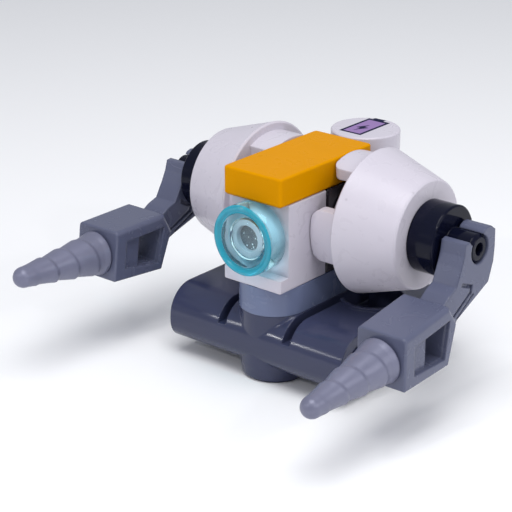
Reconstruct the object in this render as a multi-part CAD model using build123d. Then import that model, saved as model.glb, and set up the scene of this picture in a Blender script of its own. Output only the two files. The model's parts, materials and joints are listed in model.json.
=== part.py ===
"""Toy robot built from small moulded bricks: a sled base, a one-eyed brick body,
two cone shoulders and two clip-on arms that carry spiral drills.

Frame: millimetres, +Z up, the face looks along -Y, +X is towards the robot's left arm.
The origin is the centre of the front foot's underside.
"""
from build123d import *
import os
from math import cos, radians, sin

# --- the moulding system -------------------------------------------------------
PITCH = 8.0            # stud spacing
HALF_WIDTH = 3.9       # half the width of a one-stud piece
BRICK_H = 9.6
PLATE_H = 3.2
STUD_R = 2.40
STUD_H = 1.7
SOCKET_R = 2.42        # pressed on a stud of the same body
SPIN_SOCKET_R = 2.44   # turns on a stud
SOCKET_DEPTH = 1.9
HOLLOW_R = 1.6         # hole in an open stud
BAR_R = 1.58
CLIP_R = 1.62
FACE_GAP = 0.1         # between flat faces that slide past each other

# --- rows of studs, front to back ------------------------------------------------
FRONT_Y, MIDDLE_Y, REAR_Y = 0.0, PITCH, 2 * PITCH
ROWS = (FRONT_Y, MIDDLE_Y, REAR_Y)

# --- heights ---------------------------------------------------------------------
FOOT_H = 1.6
BASE_TOP = FOOT_H + 2 * PLATE_H
LOBE_TOP = BASE_TOP - 0.15
BRICK_Z = BASE_TOP + PLATE_H
TILE_Z = BRICK_Z + BRICK_H
SIDE_STUD_Z = BRICK_Z + 5.8

# --- base ------------------------------------------------------------------------
BASE_HALF_X = 11.9
BASE_FRONT = FRONT_Y - 3.95
BASE_REAR = REAR_Y + 2.0
NOSE_TOP_R = 3.4
NOSE_LOW_R = 2.2
HUB_COLUMN_R = 3.85
SLOT_IN, SLOT_OUT = 3.95, 5.0
SLOT_FLOOR = 5.55
WELL_X, WELL_R, WELL_FLOOR = 7.35, 3.35, 3.4
SHELL, POCKET_DEPTH, POCKET_RIB = 1.15, 2.4, 8.4
FOOT_LOW_R, TOP_BLEND = 3.6, 0.5
FOOT_HOLE_R, FOOT_HOLE_DEPTH = 1.6, 4.0

# --- eye -------------------------------------------------------------------------
EYE_Z = BRICK_Z + 5.65
EYE_RECESS, EYE_LEDGE = 1.4, 1.5
LENS_R, LENS_NECK_R = 3.9, 3.3
LENS_T, LENS_NECK_T = 3.05, 0.4

# --- cone shoulder, measured from the middle plane outwards -------------------------
RING_X, RIM_X, CONE_END_X = 4.05, 7.3, 14.15
RING_R, RIM_R, CONE_END_R = 7.1, 8.05, 5.95
CONE_WALL = 1.1
TAB_HALF_WIDTH, TAB_CORNER_R = 2.95, 1.0
CONE_REST_TURN = 4.2    # how far each cone happens to be turned at rest

# --- hub disc and bar ----------------------------------------------------------------
HUB_X = CONE_END_X + 0.05
HUB_R, HUB_T = 3.93, 3.15
BAR_END_X = 20.6
BAR_HOLE_R, BAR_HOLE_DEPTH = 0.70, 5.0

# --- arm, in its own frame: origin on the bar's axis, Y and Z as in the row -------------
ARM_X = 19.2
ARM_HALF_T, BLOCK_HALF_T = 1.5, 2.98
BLOCK_FRONT, BLOCK_LOW = -15.0, -10.35
WINDOW_FRONT, WINDOW_BACK = -10.95, -7.45
RECESS_FRONT, RECESS_DEPTH = -13.4, 0.45
DRILL_AXIS_Z = -7.6
LEFT_PITCH, RIGHT_PITCH = 0.0, -7.6

# --- drill ---------------------------------------------------------------------------
DRILL_LEN, DRILL_BASE_R, DRILL_TIP_R = 12.0, 2.5, 1.15
DRILL_STEPS = 4
DRILL_BAR_LEN = 2.9
DRILL_DROOP = 4.6       # the hole and the drill point this much below the block's own axis


def stud(y, z, x=0.0, inner=0.0):
    """Upright stud standing on height z."""
    body = Pos(x, y, z + STUD_H / 2) * Cylinder(STUD_R, STUD_H)
    if inner:
        body -= Pos(x, y, z + STUD_H / 2) * Cylinder(inner, STUD_H + 0.2)
    return body


def socket(y, z, radius=SOCKET_R, x=0.0):
    """Space for a stud that comes up through height z."""
    return Pos(x, y, z + SOCKET_DEPTH / 2) * Cylinder(radius, SOCKET_DEPTH)


def rod_x(x0, x1, radius):
    """Cylinder along X on the side studs' axis."""
    return Pos((x0 + x1) / 2, MIDDLE_Y, SIDE_STUD_Z) * Rot(0, 90, 0) * Cylinder(radius, abs(x1 - x0))


def rod_y(y0, y1, radius, z=EYE_Z):
    """Cylinder along Y."""
    return Pos(0, (y0 + y1) / 2, z) * Rot(90, 0, 0) * Cylinder(radius, abs(y1 - y0))


def block(x0, x1, y0, y1, z0, z1):
    """Box between two corners."""
    size = Box(x1 - x0, y1 - y0, z1 - z0)
    return Pos((x0 + x1) / 2, (y0 + y1) / 2, (z0 + z1) / 2) * size


def prism_x(points, x0, x1):
    """Closed outline in Y and Z, pushed along X."""
    outline = make_face(Plane.YZ.offset(x0) * Polyline(*points, close=True))
    return extrude(outline, amount=x1 - x0, dir=(1, 0, 0))


def turned_x(points):
    """Profile of distance along X and radius, turned about the side studs' axis."""
    profile = make_face(Plane.XZ * Polyline(*points, close=True))
    return Pos(0, MIDDLE_Y, SIDE_STUD_Z) * revolve(profile, Axis.X)


def nose_outline():
    """Side outline of the sled, the same nose at both ends."""
    low, top = FOOT_H, LOBE_TOP
    front, rear = BASE_FRONT, BASE_REAR
    lines = [
        Line((front + NOSE_LOW_R, low), (rear - NOSE_LOW_R, low)),
        RadiusArc((rear - NOSE_LOW_R, low), (rear, low + NOSE_LOW_R), -NOSE_LOW_R),
        Line((rear, low + NOSE_LOW_R), (rear, top - NOSE_TOP_R)),
        RadiusArc((rear, top - NOSE_TOP_R), (rear - NOSE_TOP_R, top), -NOSE_TOP_R),
        Line((rear - NOSE_TOP_R, top), (front + NOSE_TOP_R, top)),
        RadiusArc((front + NOSE_TOP_R, top), (front, top - NOSE_TOP_R), -NOSE_TOP_R),
        Line((front, top - NOSE_TOP_R), (front, low + NOSE_LOW_R)),
        RadiusArc((front, low + NOSE_LOW_R), (front + NOSE_LOW_R, low), -NOSE_LOW_R),
    ]
    return Curve() + lines


def hub_column(y):
    """Round column from the ground to the top of the sled, tapered where it forms the foot."""
    edge = 0.25
    slope = (HUB_COLUMN_R - FOOT_LOW_R) / FOOT_H
    outline = Curve() + [
        Line((0, 0), (FOOT_LOW_R - edge, 0)),
        RadiusArc((FOOT_LOW_R - edge, 0), (FOOT_LOW_R + slope * edge, edge), edge),
        Polyline((FOOT_LOW_R + slope * edge, edge), (HUB_COLUMN_R, FOOT_H),
                 (HUB_COLUMN_R, BASE_TOP), (0, BASE_TOP), (0, 0)),
    ]
    return Pos(0, y, 0) * revolve(make_face(Plane.XZ * outline), Axis.Z)


def blended(body):
    """Body with a small blend where the front hub column comes up out of the sled."""
    corner = []
    for edge in body.edges():
        where = edge.center()
        across = Vector(where.X, where.Y - FRONT_Y).length
        above = 4.4 < where.Z < LOBE_TOP + 0.05
        if edge.geom_type != GeomType.LINE and 3.5 < across < 4.2 and above:
            corner.append(edge)
    return fillet(corner, TOP_BLEND)


def end_pockets():
    """Hollows that leave a shell at each end of the sled, with a rib between them."""
    outline = make_face(Plane.YZ * nose_outline())
    hollow = extrude(offset(outline, -SHELL), amount=POCKET_DEPTH, dir=(1, 0, 0))
    hollow -= Pos(0, MIDDLE_Y, 5) * Box(3 * POCKET_DEPTH, POCKET_RIB, 12)
    left = Pos(BASE_HALF_X - POCKET_DEPTH, 0, 0) * hollow
    return left, mirror(left, Plane.YZ)


def base_sled():
    """Two lobes joined by a central rib, with slots, wells, end pockets and two feet."""
    outline = make_face(Plane.YZ.offset(-BASE_HALF_X) * nose_outline())
    body = extrude(outline, amount=2 * BASE_HALF_X, dir=(1, 0, 0))
    for y in (FRONT_Y, REAR_Y):
        body += hub_column(y)
    body = blended(body)
    body += block(-SLOT_IN, SLOT_IN, FRONT_Y, REAR_Y, SLOT_FLOOR - 1, BASE_TOP)
    for side in (-1, 1):
        x0, x1 = sorted((side * SLOT_IN, side * SLOT_OUT))
        body -= block(x0, x1, BASE_FRONT - 1, BASE_REAR + 1, SLOT_FLOOR, BASE_TOP + 1)
        well_z = (LOBE_TOP + WELL_FLOOR) / 2 + 0.5
        body -= Pos(side * WELL_X, MIDDLE_Y, well_z) * Cylinder(WELL_R, LOBE_TOP - WELL_FLOOR + 1)
        body += well_rim(side)
    for pocket in end_pockets():
        body -= pocket
    for y in (FRONT_Y, REAR_Y):
        body -= Pos(0, y, FOOT_HOLE_DEPTH / 2) * Cylinder(FOOT_HOLE_R, FOOT_HOLE_DEPTH)
    for y in ROWS:
        body += stud(y, BASE_TOP)
    return body


def well_rim(side):
    """Low lip round a well in one lobe."""
    height, wall = 0.35, 0.45
    z = LOBE_TOP + height / 2 - 0.1
    lip = Cylinder(WELL_R + wall, height + 0.2) - Cylinder(WELL_R, height + 0.4)
    lip = Pos(side * WELL_X, MIDDLE_Y, z) * lip
    keep = block(SLOT_OUT, BASE_HALF_X, MIDDLE_Y - 6, MIDDLE_Y + 6, LOBE_TOP - 1, LOBE_TOP + 1)
    return lip & (keep if side > 0 else mirror(keep, Plane.YZ))


def round_end_plate():
    """Three-stud plate with round ends, studs on top and sockets under."""
    length = REAR_Y - FRONT_Y
    middle_z = BASE_TOP + PLATE_H / 2
    body = Pos(0, MIDDLE_Y, middle_z) * Box(2 * HALF_WIDTH, length, PLATE_H)
    for y in (FRONT_Y, REAR_Y):
        body += Pos(0, y, middle_z) * Cylinder(HALF_WIDTH, PLATE_H)
    for y in ROWS:
        body -= socket(y, BASE_TOP)
        body += stud(y, BRICK_Z)
    return body


def square_brick(y):
    """One-stud brick with a socket under it and a stud on top."""
    body = block(-HALF_WIDTH, HALF_WIDTH, y - HALF_WIDTH, y + HALF_WIDTH, BRICK_Z, TILE_Z)
    body = chamfer(body.edges(), 0.12)
    body -= socket(y, BRICK_Z)
    return body + stud(y, TILE_Z)


def eye_brick():
    """Brick with a recessed face, a bottom ledge and an open stud that looks forward."""
    face_y = FRONT_Y - HALF_WIDTH + EYE_RECESS
    body = square_brick(FRONT_Y)
    body -= block(-5, 5, FRONT_Y - 5, face_y, BRICK_Z + EYE_LEDGE, TILE_Z)
    body -= block(-2.5, 2.5, FRONT_Y + 1.2, FRONT_Y + 5, EYE_Z - 2.5, EYE_Z + 2.5)
    body += rod_y(face_y - STUD_H, face_y, STUD_R)
    body -= rod_y(face_y - STUD_H - 0.1, FRONT_Y + 1.3, HOLLOW_R)
    return body


def eye_lens():
    """Round clear lens that turns on the forward stud."""
    face_y = FRONT_Y - HALF_WIDTH + EYE_RECESS
    back, step, front = face_y - 0.05, face_y - 0.05 - LENS_NECK_T, face_y - 0.05 - LENS_T
    disc = rod_y(front, step, LENS_R)
    disc = chamfer(disc.edges().group_by(Axis.Y)[0], 0.25)
    body = disc + rod_y(step, back, LENS_NECK_R)
    return body - rod_y(back - SOCKET_DEPTH + 0.05, back, SPIN_SOCKET_R)


def side_stud_brick():
    """Brick with a stud on each side to carry the cones."""
    body = square_brick(MIDDLE_Y)
    for side in (-1, 1):
        body += rod_x(side * HALF_WIDTH, side * (HALF_WIDTH + STUD_H), STUD_R)
    return body


def round_brick():
    """Round brick at the back that turns on its stud, narrower at its foot, with an open stud."""
    low = BRICK_Z + 0.05
    neck_top = BRICK_Z + 1.6
    body = Pos(0, REAR_Y, (low + neck_top) / 2) * Cylinder(3.25, neck_top - low)
    body += Pos(0, REAR_Y, (neck_top + TILE_Z) / 2) * Cylinder(HALF_WIDTH, TILE_Z - neck_top)
    body -= socket(REAR_Y, low, radius=SPIN_SOCKET_R)
    return body + stud(REAR_Y, TILE_Z, inner=HOLLOW_R)


def long_tile():
    """Two-stud smooth tile over the face brick and the side-stud brick."""
    body = block(-HALF_WIDTH, HALF_WIDTH, FRONT_Y - HALF_WIDTH, MIDDLE_Y + HALF_WIDTH,
                 TILE_Z, TILE_Z + PLATE_H)
    body = fillet(body.edges().filter_by(Axis.Z), 0.4)
    body = fillet(body.edges().group_by(Axis.Z)[-1], 0.25)
    body = chamfer(body.edges().group_by(Axis.Z)[0], 0.25)
    for y in (FRONT_Y, MIDDLE_Y):
        body -= socket(y, TILE_Z)
    return body


def round_tile():
    """Smooth round tile that turns on the rear stud."""
    low = TILE_Z + 0.05
    top = TILE_Z + PLATE_H
    profile = Polyline((0, low), (3.6, low), (3.6, low + 0.35), (HALF_WIDTH, low + 0.35),
                       (HALF_WIDTH, top - 0.15), (HALF_WIDTH - 0.15, top), (0, top), close=True)
    body = Pos(0, REAR_Y, 0) * revolve(make_face(Plane.XZ * profile), Axis.Z)
    return body - socket(REAR_Y, low, radius=SPIN_SOCKET_R)


def cone_shell():
    """Hollow truncated cone with four tabs at the body side and an end stud."""
    slope = (RIM_R - CONE_END_R) / (CONE_END_X - RIM_X)
    end_wall_x = CONE_END_X - 1.6
    inner_end_r = CONE_END_R + slope * 1.6 - CONE_WALL
    body = turned_x([(RIM_X, 0), (RIM_X, RIM_R - 0.2), (RIM_X + 0.2, RIM_R),
                     (CONE_END_X - 0.15, CONE_END_R + 0.05), (CONE_END_X, CONE_END_R - 0.15),
                     (CONE_END_X, 0)])
    body += ring_tabs()
    body -= turned_x([(RING_X - 1, 0), (RING_X - 1, RING_R - CONE_WALL),
                      (RIM_X + 0.5, RING_R - CONE_WALL), (end_wall_x, inner_end_r), (end_wall_x, 0)])
    tube = rod_x(RING_X, end_wall_x + 0.1, 3.25) - rod_x(RING_X - 1, RING_X + 4.0, SPIN_SOCKET_R)
    body += tube
    return body + rod_x(CONE_END_X, CONE_END_X + STUD_H, STUD_R)


def ring_tabs():
    """Ring cut into four tabs with round corners, one each way across the axis."""
    ring = turned_x([(RING_X, 0), (RING_X, RING_R), (RIM_X + 0.1, RING_R), (RIM_X + 0.1, 0)])
    length = RIM_X + 1 - RING_X
    window = Box(length, 2 * TAB_HALF_WIDTH, RING_R)
    corners = window.edges().filter_by(Axis.Z).group_by(Axis.X)[0]
    window = Pos(RING_X + length / 2, 0, RING_R / 2 + 1.5) * fillet(corners, TAB_CORNER_R)
    tabs = Pos(0, 0, 0) * window
    for quarter in range(1, 4):
        tabs += Rot(90 * quarter, 0, 0) * window
    return ring & (Pos(0, MIDDLE_Y, SIDE_STUD_Z) * Rot(CONE_REST_TURN, 0, 0) * tabs)


def hub_disc():
    """Round tile with a bar: it sits on the cone's end stud and the arm clips to the bar."""
    body = rod_x(HUB_X, HUB_X + HUB_T, HUB_R)
    body = chamfer(body.edges().group_by(Axis.X)[-1], 0.15)
    bar = rod_x(HUB_X + HUB_T, BAR_END_X, BAR_R)
    bar = chamfer(bar.edges().group_by(Axis.X)[-1], 0.35)
    body += bar
    body -= rod_x(HUB_X - 0.1, HUB_X + SOCKET_DEPTH, SPIN_SOCKET_R)
    return body - rod_x(BAR_END_X - BAR_HOLE_DEPTH, BAR_END_X + 0.1, BAR_HOLE_R)


def arm_lug():
    """Slim upper arm: a two-prong clip that runs down and forward into the block."""
    outline = [(0.75, 1.8), (1.3, 2.05), (1.95, 2.05), (2.8, 1.45), (2.85, -0.5), (2.7, -2.1),
               (1.9, -4.2), (1.2, -4.5), (-3.75, -6.65), (-8.4, -9.0), (-8.4, -5.3),
               (-6.3, -4.35), (-5.3, -3.6), (-4.1, -3.05), (-3.3, -1.25), (-2.85, 0.0),
               (-2.65, 1.2), (-2.0, 1.35), (-1.6, 0.9), (-0.4, 0.3)]
    body = prism_x(outline, -ARM_HALF_T, ARM_HALF_T)
    return body - Rot(0, 90, 0) * Cylinder(CLIP_R, 2 * ARM_HALF_T + 1)


def groove(path, width, depth):
    """Cuts of constant width along a path, on both faces of the slim part."""
    cuts = []
    for side in (-1, 1):
        x0, x1 = sorted((side * (ARM_HALF_T - depth), side * (ARM_HALF_T + 0.5)))
        for start, end in zip(path, path[1:]):
            a, b = Vector(*start), Vector(*end)
            run = (b - a).normalized() * (width / 2)
            across = Vector(-run.Y, run.X)
            corners = [a - run - across, b + run - across, b + run + across, a - run + across]
            cuts.append(prism_x([(c.X, c.Y) for c in corners], x0, x1))
    return cuts


def arm_block():
    """Box end of the arm with a crowned top and a sloping back."""
    outline = [(BLOCK_FRONT, -4.65), (-7.4, -3.65), (-6.0, -5.6), (-7.3, -10.1),
               (BLOCK_FRONT, BLOCK_LOW)]
    body = prism_x(outline, -BLOCK_HALF_T, BLOCK_HALF_T)
    top = body.edges().filter_by(GeomType.LINE).group_by(Axis.Z)[-3:]
    upper = [e for group in top for e in group if abs(e.tangent_at(0).X) < 0.1]
    body = fillet(upper, 0.5)
    rest = [e for e in body.edges() if e.center().Z < -4.9 or abs(e.center().X) < 0.1]
    body = fillet(rest, 0.2)
    for side in (-1, 1):
        x0, x1 = sorted((side * (BLOCK_HALF_T - RECESS_DEPTH), side * (BLOCK_HALF_T + 1)))
        body -= prism_x([(RECESS_FRONT, -5.9), (-7.3, -5.1), (-8.0, -9.25), (RECESS_FRONT, -9.1)], x0, x1)
    return body


def arm():
    """Arm in its own frame, the clip's bore on the X axis."""
    body = arm_block() + arm_lug()
    window = [(WINDOW_FRONT, -5.7), (WINDOW_BACK, -5.15), (WINDOW_BACK - 0.6, -9.1),
              (WINDOW_FRONT, -9.1)]
    body -= prism_x(window, -BLOCK_HALF_T - 1, BLOCK_HALF_T + 1)
    body -= drooped(rod_y(-1, 4.2, CLIP_R, z=0))
    for cut in groove([(-2.95, -3.1), (-1.3, -3.75), (-1.45, -4.4), (-4.6, -6.25)], 0.4, 0.35):
        body -= cut
    for cut in groove([(-0.95, -4.75), (-3.75, -6.5)], 0.25, 0.25):
        body -= cut
    return body


def drooped(piece):
    """Move a piece made at the origin along Y to the block's front face, along the hole's axis."""
    return Pos(0, BLOCK_FRONT, DRILL_AXIS_Z) * Rot(DRILL_DROOP, 0, 0) * piece


def drill():
    """Stepped drill on a bar, pointing along -Y from the block's front face."""
    start = -0.25
    cone_len = DRILL_LEN - DRILL_TIP_R
    rise = (DRILL_BASE_R - DRILL_TIP_R) / cone_len
    pitch = cone_len / DRILL_STEPS
    points = [(0.0, start)]
    for number in range(DRILL_STEPS):
        near = number * pitch
        wide = DRILL_BASE_R - rise * near
        points += [(wide - 0.12, start - near), (wide, start - near - 0.3)]
    points.append((DRILL_TIP_R, start - cone_len))
    tip = Curve() + [
        Polyline(*points),
        RadiusArc((DRILL_TIP_R, start - cone_len), (0, start - DRILL_LEN), DRILL_TIP_R),
        Line((0, start - DRILL_LEN), (0, start)),
    ]
    body = revolve(make_face(tip), Axis.Y)
    body += rod_y(start - 0.2, start + DRILL_BAR_LEN, BAR_R, z=0)
    return drooped(body)


def placed(piece, side, pitch):
    """Set an arm-frame piece on the bar at one side, swung about the bar by pitch degrees."""
    return Pos(side * ARM_X, MIDDLE_Y, SIDE_STUD_Z) * Rot(pitch, 0, 0) * piece


def build():
    """All the pieces by name."""
    cone, hub, limb, bit = cone_shell(), hub_disc(), arm(), drill()
    pieces = {
        "base_sled": base_sled(),
        "round_end_plate": round_end_plate(),
        "eye_brick": eye_brick(),
        "side_stud_brick": side_stud_brick(),
        "round_brick": round_brick(),
        "long_tile": long_tile(),
        "round_tile": round_tile(),
        "eye_lens": eye_lens(),
    }
    for name, side, pitch in (("left", 1, LEFT_PITCH), ("right", -1, RIGHT_PITCH)):
        pieces["cone_" + name] = cone if side > 0 else mirror(cone, Plane.YZ)
        pieces["hub_disc_" + name] = hub if side > 0 else mirror(hub, Plane.YZ)
        pieces["arm_" + name] = placed(limb, side, pitch)
        pieces["drill_" + name] = placed(bit, side, pitch)
    return pieces


os.makedirs("parts", exist_ok=True)
for node, solid in build().items():
    export_step(solid, f"parts/{node}.step")
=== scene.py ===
import bpy
import json
from math import cos, floor, pi, radians, sin, sqrt
from mathutils import Matrix, Vector


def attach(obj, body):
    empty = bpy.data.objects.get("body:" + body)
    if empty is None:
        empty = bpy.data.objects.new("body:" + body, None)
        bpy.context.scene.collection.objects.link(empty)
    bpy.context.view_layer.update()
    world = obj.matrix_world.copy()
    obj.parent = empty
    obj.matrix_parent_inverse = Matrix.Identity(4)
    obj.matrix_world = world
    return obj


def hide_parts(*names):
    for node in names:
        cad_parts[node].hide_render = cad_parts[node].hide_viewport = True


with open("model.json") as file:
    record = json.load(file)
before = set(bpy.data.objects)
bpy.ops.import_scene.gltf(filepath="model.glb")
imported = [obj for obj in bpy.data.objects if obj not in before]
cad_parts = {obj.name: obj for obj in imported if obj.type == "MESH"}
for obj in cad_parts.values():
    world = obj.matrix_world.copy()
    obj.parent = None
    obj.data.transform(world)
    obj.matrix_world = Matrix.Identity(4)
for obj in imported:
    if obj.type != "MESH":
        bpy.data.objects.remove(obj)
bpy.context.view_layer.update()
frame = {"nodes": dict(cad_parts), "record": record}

MM = 0.001

# --- where things are, in millimetres, as in the part's source -------------------------
BAR_Y, BAR_Z, ARM_X = 8.0, 17.0, 19.2
BLOCK_FRONT, DRILL_AXIS_Z = -15.0, -7.6
ARM_PITCH = {"left": 0.0, "right": -7.6}     # degrees
DRILL_DROOP = 4.6                            # degrees
DRILL_START = 0.25                           # from the block's face to the spiral's base
DRILL_LEN, DRILL_BASE_R, DRILL_TIP_R = 12.0, 2.5, 1.15
DRILL_BAR_LEN, BAR_R, BAR_EDGE = 2.9, 1.58, 0.15
EYE_Z, EYE_BACK = 16.85, -2.55
TILE_Y, TILE_TOP = 16.0, 24.0

# --- the drill's spiral, in millimetres unless said --------------------------------------
SPIRAL_PITCH, SPIRAL_DEPTH = 2.75, 0.19
SPIRAL_OFFSET = 0.35                         # in turns
SPIRAL_STEP = 0.16                           # share of a pitch in which the step climbs out
FADE_AT_TIP, FADE_AT_BASE = 3.5, 0.7
DRILL_RINGS, DRILL_AROUND = 150, 72
FIRST_RING = 0.02                            # keeps the spiral's first ring off the bar's last

# --- the eye: radius and distance forward of its back, from the socket round to the face ---
LENS_PROFILE = [(1.9, 1.88), (2.40, 1.86), (2.44, 1.8), (2.44, 0.02),
                (3.2, 0.02), (3.28, 0.35), (3.8, 0.42), (3.9, 0.55),
                (3.9, 2.85), (3.84, 2.98), (3.68, 3.05), (3.5, 3.05),
                (3.36, 2.95), (3.3, 2.78), (3.05, 2.72), (2.98, 2.82), (2.88, 2.72)]
LENS_AROUND = 96
RIM_FROM_R, RIM_FROM_FORWARD = 2.95, 2.7     # the rim's deeper blue, painted shade for the thicker plastic, is outside and ahead of these
BORE_FLOOR_R, BORE_FLOOR_Y, BORE_CENTRE_Y, BORE_BACK_Y = 1.58, -3.55, -3.2, -3.5
BORE_DIP, BORE_RINGS, BORE_AROUND = 0.25, 6, 48

# --- the print on the round tile: heights above the tile --------------------------------
CASE_LEVEL, CHARGE_LEVEL, BOLT_LEVEL = 0.004, 0.008, 0.012
PRINT_SUNK = 0.02

# --- camera ------------------------------------------------------------------------
AIM = Vector((0.0, 0.0, 17.2)) * MM          # point on the face brick that the camera orbits
AZIMUTH, ELEVATION, ROLL = 39.86, 21.78, -0.19
DISTANCE = 185.0 * MM
SLIDE_RIGHT, SLIDE_UP = -2.05 * MM, -3.455 * MM
LENS_MM, SENSOR_MM = 121.8, 36

# --- studio: name, place, aim, size and watts of each light, in millimetres --------------
LIGHTS = [
    ("key", (50, -50, 260), (0, 5, 12), (180, 180), 0.46),
    ("side", (240, 60, 120), (0, 5, 12), (120, 120), 0.10),
    ("spark_front", (-20, -200, 150), (0, 0, 8), (9, 9), 0.05),
    ("spark_sled", (-141, -185, 85), (8, -4, 6), (30, 6), 0.03),
    ("spark_side", (200, -60, 140), (10, 8, 14), (12, 12), 0.04),
]
SURROUND_COLOUR, SURROUND_STRENGTH = (0.9, 0.93, 1.0, 1), 0.46
FLOOR_SIZE, FLOOR_DROP = 3.0, 0.00002        # metres


def add_camera():
    """Camera at the angle from which the object is shown."""
    az, el, roll = radians(AZIMUTH), radians(ELEVATION), radians(ROLL)
    back = Vector((sin(az) * cos(el), -cos(az) * cos(el), sin(el)))
    level = Vector((cos(az), sin(az), 0))
    upright = back.cross(level)
    right = level * cos(roll) + upright * sin(roll)
    up = upright * cos(roll) - level * sin(roll)
    data = bpy.data.cameras.new("camera")
    data.lens = LENS_MM
    data.sensor_width = SENSOR_MM
    data.clip_start, data.clip_end = 0.01, 10
    camera = bpy.data.objects.new("camera", data)
    bpy.context.collection.objects.link(camera)
    place = AIM + back * DISTANCE + right * SLIDE_RIGHT + up * SLIDE_UP
    turn = Matrix((right, up, back)).transposed().to_4x4()
    camera.matrix_world = Matrix.Translation(place) @ turn
    bpy.context.scene.camera = camera


def add_area(name, place, aim, size, watts):
    """Rectangular soft light aimed at a point; places and sizes are in millimetres."""
    data = bpy.data.lights.new(name, "AREA")
    data.shape = "RECTANGLE"
    data.size, data.size_y = size[0] * MM, size[1] * MM
    data.energy = watts
    light = bpy.data.objects.new(name, data)
    bpy.context.collection.objects.link(light)
    at = Vector(place) * MM
    look = (Vector(aim) * MM - at).to_track_quat("-Z", "Y")
    light.matrix_world = Matrix.Translation(at) @ look.to_matrix().to_4x4()


def add_studio():
    """Pale floor, a bright surround and soft lights."""
    bpy.ops.mesh.primitive_plane_add(size=FLOOR_SIZE, location=(0, 0, -FLOOR_DROP))
    ground = bpy.context.object
    ground.name = "floor"
    mat = bpy.data.materials.new("floor_paper")
    mat.use_nodes = True
    shader = mat.node_tree.nodes["Principled BSDF"]
    shader.inputs["Base Color"].default_value = (0.97, 0.97, 0.98, 1)
    shader.inputs["Roughness"].default_value = 0.95
    shader.inputs["Specular IOR Level"].default_value = 0.1
    ground.data.materials.append(mat)
    world = bpy.data.worlds.new("surround")
    world.use_nodes = True
    background = world.node_tree.nodes["Background"]
    background.inputs["Color"].default_value = SURROUND_COLOUR
    background.inputs["Strength"].default_value = SURROUND_STRENGTH
    bpy.context.scene.world = world
    for light in LIGHTS:
        add_area(*light)


# --- materials -----------------------------------------------------------------------
def node(tree, kind, **values):
    """New shader node with its named sockets set."""
    made = tree.nodes.new(kind)
    for name, value in values.items():
        made.inputs[name.replace("_", " ")].default_value = value
    return made


def texture(tree, where, kind, **values):
    """Texture node that follows the object."""
    made = node(tree, kind, **values)
    tree.links.new(where.outputs["Object"], made.inputs["Vector"])
    return made


def plastic(name, colour, rough=0.22, bump=0.02, edge=0.16, mottle=0.06, specks=0.0,
            metal=0.0, shine=0.5):
    """Moulded plastic: flow marks in colour and gloss, fine grain and soft edges in mm."""
    mat = bpy.data.materials.new(name)
    mat.use_nodes = True
    tree = mat.node_tree
    link = tree.links.new
    shader = tree.nodes["Principled BSDF"]
    where = tree.nodes.new("ShaderNodeTexCoord")
    flow = texture(tree, where, "ShaderNodeTexNoise", Scale=170.0, Detail=3.0)
    tint = node(tree, "ShaderNodeMixRGB", Color1=(*colour, 1), Fac=mottle)
    tint.blend_type = "MULTIPLY"
    link(flow.outputs["Fac"], tint.inputs["Color2"])
    link(tint.outputs["Color"], shader.inputs["Base Color"])
    if specks:
        dust = texture(tree, where, "ShaderNodeTexVoronoi", Scale=260.0)
        near = node(tree, "ShaderNodeMapRange", From_Min=0.0, From_Max=0.055,
                    To_Min=specks, To_Max=0.0)
        link(dust.outputs["Distance"], near.inputs["Value"])
        dotted = node(tree, "ShaderNodeMixRGB", Color2=(*[c * 0.45 for c in colour], 1))
        link(near.outputs["Result"], dotted.inputs["Fac"])
        link(tint.outputs["Color"], dotted.inputs["Color1"])
        link(dotted.outputs["Color"], shader.inputs["Base Color"])
    scuff = texture(tree, where, "ShaderNodeTexNoise", Scale=420.0, Detail=6.0, Distortion=1.4)
    gloss = node(tree, "ShaderNodeMapRange", From_Min=0.3, From_Max=0.75,
                 To_Min=rough * 0.8, To_Max=rough * 1.3)
    link(scuff.outputs["Fac"], gloss.inputs["Value"])
    link(gloss.outputs["Result"], shader.inputs["Roughness"])
    grain = texture(tree, where, "ShaderNodeTexNoise", Scale=2600.0, Detail=4.0)
    soft = node(tree, "ShaderNodeBevel", Radius=edge * MM)
    soft.samples = 6
    relief = node(tree, "ShaderNodeBump", Strength=bump, Distance=0.05 * MM)
    link(grain.outputs["Fac"], relief.inputs["Height"])
    link(soft.outputs["Normal"], relief.inputs["Normal"])
    link(relief.outputs["Normal"], shader.inputs["Normal"])
    shader.inputs["IOR"].default_value = 1.5
    shader.inputs["Metallic"].default_value = metal
    shader.inputs["Specular IOR Level"].default_value = shine
    return mat


def clear(name, tint, depth_tint, density, clarity=1.0):
    """Clear plastic tinted by its depth, with faint moulding waves; it lets lamp light through."""
    mat = bpy.data.materials.new(name)
    mat.use_nodes = True
    tree = mat.node_tree
    link = tree.links.new
    shader = tree.nodes["Principled BSDF"]
    output = tree.nodes["Material Output"]
    where = tree.nodes.new("ShaderNodeTexCoord")
    wave = texture(tree, where, "ShaderNodeTexNoise", Scale=520.0, Detail=2.0)
    relief = node(tree, "ShaderNodeBump", Strength=0.15, Distance=0.1 * MM)
    link(wave.outputs["Fac"], relief.inputs["Height"])
    link(relief.outputs["Normal"], shader.inputs["Normal"])
    shader.inputs["Base Color"].default_value = (*tint, 1)
    shader.inputs["Roughness"].default_value = 0.04
    shader.inputs["Transmission Weight"].default_value = clarity
    shader.inputs["IOR"].default_value = 1.49
    rays = tree.nodes.new("ShaderNodeLightPath")
    through = node(tree, "ShaderNodeBsdfTransparent", Color=(0.80, 0.96, 0.99, 1))
    either = tree.nodes.new("ShaderNodeMixShader")
    link(rays.outputs["Is Shadow Ray"], either.inputs[0])
    link(shader.outputs["BSDF"], either.inputs[1])
    link(through.outputs["BSDF"], either.inputs[2])
    link(either.outputs["Shader"], output.inputs["Surface"])
    depth = node(tree, "ShaderNodeVolumeAbsorption", Color=(*depth_tint, 1), Density=density)
    link(depth.outputs["Volume"], output.inputs["Volume"])
    return mat


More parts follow.
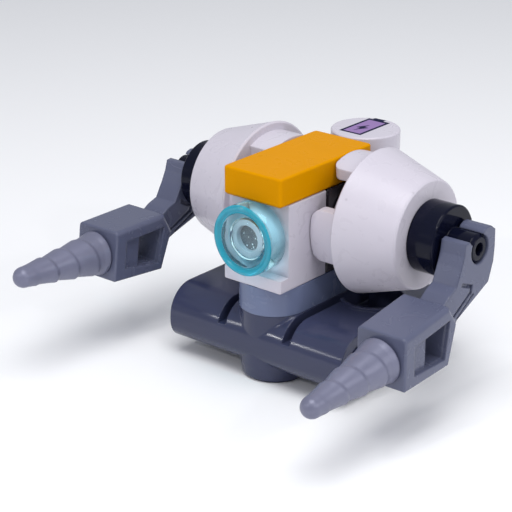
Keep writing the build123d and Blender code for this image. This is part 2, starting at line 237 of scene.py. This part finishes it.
DEPTH_BLUE = (0.0, 0.76, 0.86)
MATERIALS = {
    # dark_slate is the slate plastic darkened: painted shade for the base's dim front
    "dark_slate": plastic("slate_plastic_painted_shade", (0.040, 0.046, 0.095), rough=0.16, edge=0.2,
                          shine=0.4),
    "slate": plastic("slate_plastic", (0.105, 0.115, 0.185), rough=0.24, edge=0.28,
                     specks=0.25, shine=0.4),
    "mid_grey": plastic("mid_grey_plastic", (0.16, 0.19, 0.31), rough=0.25, shine=0.35),
    "white": plastic("white_plastic", (0.62, 0.585, 0.66), rough=0.3, specks=0.5, shine=0.3),
    "dark_grey": plastic("dark_grey_plastic", (0.022, 0.018, 0.026), rough=0.25),
    "orange": plastic("orange_plastic", (0.70, 0.29, 0.0), rough=0.3, shine=0.02),
    "clear_blue": clear("clear_blue_plastic", (0.97, 1.0, 1.0), DEPTH_BLUE, 200.0),
    "black": plastic("black_plastic", (0.004, 0.005, 0.016), rough=0.1, edge=0.2, shine=0.16),
    "pearl_grey": plastic("pearl_grey_plastic", (0.20, 0.205, 0.30), rough=0.36, bump=0.14,
                          mottle=0.3, metal=0.15),
}
# painted shade: the lens rim takes a deeper, less clear blue than the rest of the same clear
# plastic, standing in for the darker look through thicker plastic
RIM_PAINTED_DEPTH_SHADE = clear("rim_painted_depth_shade", (0.03, 0.50, 0.68), DEPTH_BLUE, 170.0, clarity=0.4)
INK_DARK = plastic("ink_navy", (0.006, 0.008, 0.04), rough=0.4, edge=0.02, shine=0.05)
INK_LIGHT = plastic("ink_lavender", (0.30, 0.19, 0.42), rough=0.4, edge=0.02, shine=0.05)


def painted_glints_on_shade(name):
    """Rough moulded floor coloured dark as painted shade and dotted with small painted glints."""
    mat = plastic(name, (0.20, 0.25, 0.30), rough=0.1, edge=0.02)
    tree = mat.node_tree
    shader = tree.nodes["Principled BSDF"]
    where = tree.nodes.new("ShaderNodeTexCoord")
    cells = texture(tree, where, "ShaderNodeTexVoronoi", Scale=2300.0)
    # bright ramp spots are painted glints; the dark end of the ramp is painted shade
    glint_ramp = tree.nodes.new("ShaderNodeValToRGB")
    bright, dark = glint_ramp.color_ramp.elements
    bright.position = 0.20
    bright.color = (0.9, 0.95, 1.0, 1)
    dark.position = 0.32
    dark.color = (0.05, 0.075, 0.11, 1)
    tree.links.new(cells.outputs["Distance"], glint_ramp.inputs["Fac"])
    tree.links.new(glint_ramp.outputs["Color"], shader.inputs["Base Color"])
    return mat


# --- shapes ----------------------------------------------------------------------------
def mesh_object(name, points, faces, material, smooth=True):
    """Object made from points in metres."""
    mesh = bpy.data.meshes.new(name)
    mesh.from_pydata(points, [], faces)
    mesh.update()
    for face in mesh.polygons:
        face.use_smooth = smooth
    mesh.materials.append(material)
    made = bpy.data.objects.new(name, mesh)
    bpy.context.collection.objects.link(made)
    return made


def rings_to_faces(rings, around):
    """Quads between rings of points, with a fan at each end onto the two last points."""
    faces = []
    for ring in range(rings - 1):
        for turn in range(around):
            a = ring * around + turn
            b = ring * around + (turn + 1) % around
            faces.append((a, b, b + around, a + around))
    first, last = rings * around, rings * around + 1
    for turn in range(around):
        after = (turn + 1) % around
        faces.append((first, after, turn))
        faces.append((last, (rings - 1) * around + turn, (rings - 1) * around + after))
    return faces


def drill_radius(along, turn):
    """Radius of the drill at a distance from its base: a taper with one soft spiral step."""
    cone_len = DRILL_LEN - DRILL_TIP_R
    taper = DRILL_BASE_R - (DRILL_BASE_R - DRILL_TIP_R) * min(along, cone_len) / cone_len
    if along > cone_len:
        return sqrt(max(DRILL_TIP_R ** 2 - (along - cone_len) ** 2, 0.0))
    phase = along / SPIRAL_PITCH - turn / (2 * pi) + SPIRAL_OFFSET
    phase -= floor(phase)
    slope = 1 - SPIRAL_STEP
    drop = phase / slope if phase < slope else (1 - phase) / SPIRAL_STEP
    fade = min(1.0, (cone_len - along) / FADE_AT_TIP) * min(1.0, along / FADE_AT_BASE)
    return taper - SPIRAL_DEPTH * fade * drop


def drill_frame(side_name):
    """Placement of a drill's base, through its arm's swing and its own droop."""
    side = 1 if side_name == "left" else -1
    place = Matrix.Translation(Vector((side * ARM_X, BAR_Y, BAR_Z)))
    place = place @ Matrix.Rotation(radians(ARM_PITCH[side_name]), 4, "X")
    place = place @ Matrix.Translation(Vector((0, BLOCK_FRONT, DRILL_AXIS_Z)))
    return place @ Matrix.Rotation(radians(DRILL_DROOP), 4, "X")


def add_drill(side_name):
    """Spiral drill on its bar, in place of the stepped one."""
    place = drill_frame(side_name)

    def spot(along, radius, turn):
        at = Vector((radius * cos(turn), -along - DRILL_START, radius * sin(turn)))
        return place @ at * MM

    turns = [2 * pi * k / DRILL_AROUND for k in range(DRILL_AROUND)]
    bar = [(-DRILL_BAR_LEN, BAR_R - BAR_EDGE), (-DRILL_BAR_LEN + BAR_EDGE, BAR_R), (0.0, BAR_R)]
    points = [spot(along, radius, turn) for along, radius in bar for turn in turns]
    for ring in range(DRILL_RINGS):
        along = DRILL_LEN * (ring + FIRST_RING) / DRILL_RINGS
        points += [spot(along, drill_radius(along, turn), turn) for turn in turns]
    points += [spot(-DRILL_BAR_LEN, 0, 0), spot(DRILL_LEN, 0, 0)]
    faces = rings_to_faces(len(bar) + DRILL_RINGS, DRILL_AROUND)
    made = mesh_object("drill_spiral_" + side_name, points, faces, MATERIALS["pearl_grey"])
    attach(made, "drill_" + side_name)
    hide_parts("drill_" + side_name)


def eye_ring(radius, y, around):
    """Points of a circle about the eye's axis."""
    turns = [2 * pi * k / around for k in range(around)]
    return [Vector((radius * cos(t), y, EYE_Z + radius * sin(t))) * MM for t in turns]


def add_lens():
    """Clear eye with a raised rim, a thin inner ring and a socket over the forward stud."""
    points = []
    for radius, forward in LENS_PROFILE:
        points += eye_ring(radius, EYE_BACK - forward, LENS_AROUND)
    for end in (LENS_PROFILE[0], LENS_PROFILE[-1]):
        points.append(Vector((0, EYE_BACK - end[1], EYE_Z)) * MM)
    made = mesh_object("eye_clear", points, rings_to_faces(len(LENS_PROFILE), LENS_AROUND),
                       MATERIALS["clear_blue"])
    made.data.materials.append(RIM_PAINTED_DEPTH_SHADE)
    for face in made.data.polygons:
        out = Vector((face.center.x, face.center.z - EYE_Z * MM)).length
        forward = EYE_BACK * MM - face.center.y
        # faces outside and ahead of the rim limits take the painted-shade blue
        if out > RIM_FROM_R * MM and forward > RIM_FROM_FORWARD * MM:
            face.material_index = 1
    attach(made, "eye_lens")
    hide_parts("eye_lens")


def add_bore_floor():
    """Dimpled floor inside the open stud behind the eye, coloured with painted shade and painted
    glints; its outer end stays open.
    """
    points = []
    for ring in range(BORE_RINGS):
        radius = BORE_FLOOR_R * (BORE_RINGS - ring) / BORE_RINGS
        dip = BORE_DIP * (ring / BORE_RINGS) ** 2
        points += eye_ring(radius, BORE_FLOOR_Y + dip, BORE_AROUND)
    open_end = len(points)
    points += [Vector((0, BORE_BACK_Y, EYE_Z)) * MM, Vector((0, BORE_CENTRE_Y, EYE_Z)) * MM]
    faces = [f for f in rings_to_faces(BORE_RINGS, BORE_AROUND) if open_end not in f]
    # the floor's colour is painted shade of the deep hollow, with painted glints
    made = mesh_object("bore_floor", points, faces, painted_glints_on_shade("bore_painted_shade_glints"))
    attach(made, "body")


def flat_shape(name, outline, level, material):
    """Thin printed shape on the round tile; the outline is in mm about the tile's middle."""
    count = len(outline)
    points = []
    for height in (TILE_TOP + level, TILE_TOP - PRINT_SUNK):
        points += [Vector((x, TILE_Y + y, height)) * MM for x, y in outline]
    faces = [tuple(range(count)), tuple(reversed(range(count, 2 * count)))]
    for k in range(count):
        after = (k + 1) % count
        faces.append((k, k + count, after + count, after))
    made = mesh_object(name, points, faces, material, smooth=False)
    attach(made, "round_tile")


def add_print():
    """Generic battery picture printed on the round tile."""
    flat_shape("print_case", [(-1.8, -2.55), (1.15, -2.55), (1.15, 3.1), (0.2, 3.1), (0.2, 3.6),
                              (-1.3, 3.6), (-1.3, 3.1), (-1.8, 3.1)], CASE_LEVEL, INK_DARK)
    flat_shape("print_charge", [(-1.45, -2.2), (0.8, -2.2), (0.8, 2.65), (-1.45, 2.65)],
               CHARGE_LEVEL, INK_LIGHT)
    flat_shape("print_bolt", [(-0.15, 1.1), (-1.0, -0.45), (-0.4, -0.45), (-0.65, -1.6),
                              (0.35, 0.1), (-0.2, 0.1)], BOLT_LEVEL, INK_DARK)


for part in frame["record"]["subparts"]:
    piece = frame["nodes"][part["node"]]
    piece.data.materials.clear()
    piece.data.materials.append(MATERIALS[part["material_slot"]])

add_lens()
add_bore_floor()
add_print()
for which in ("left", "right"):
    add_drill(which)
add_studio()
add_camera()
bpy.context.scene.view_settings.view_transform = "Standard"
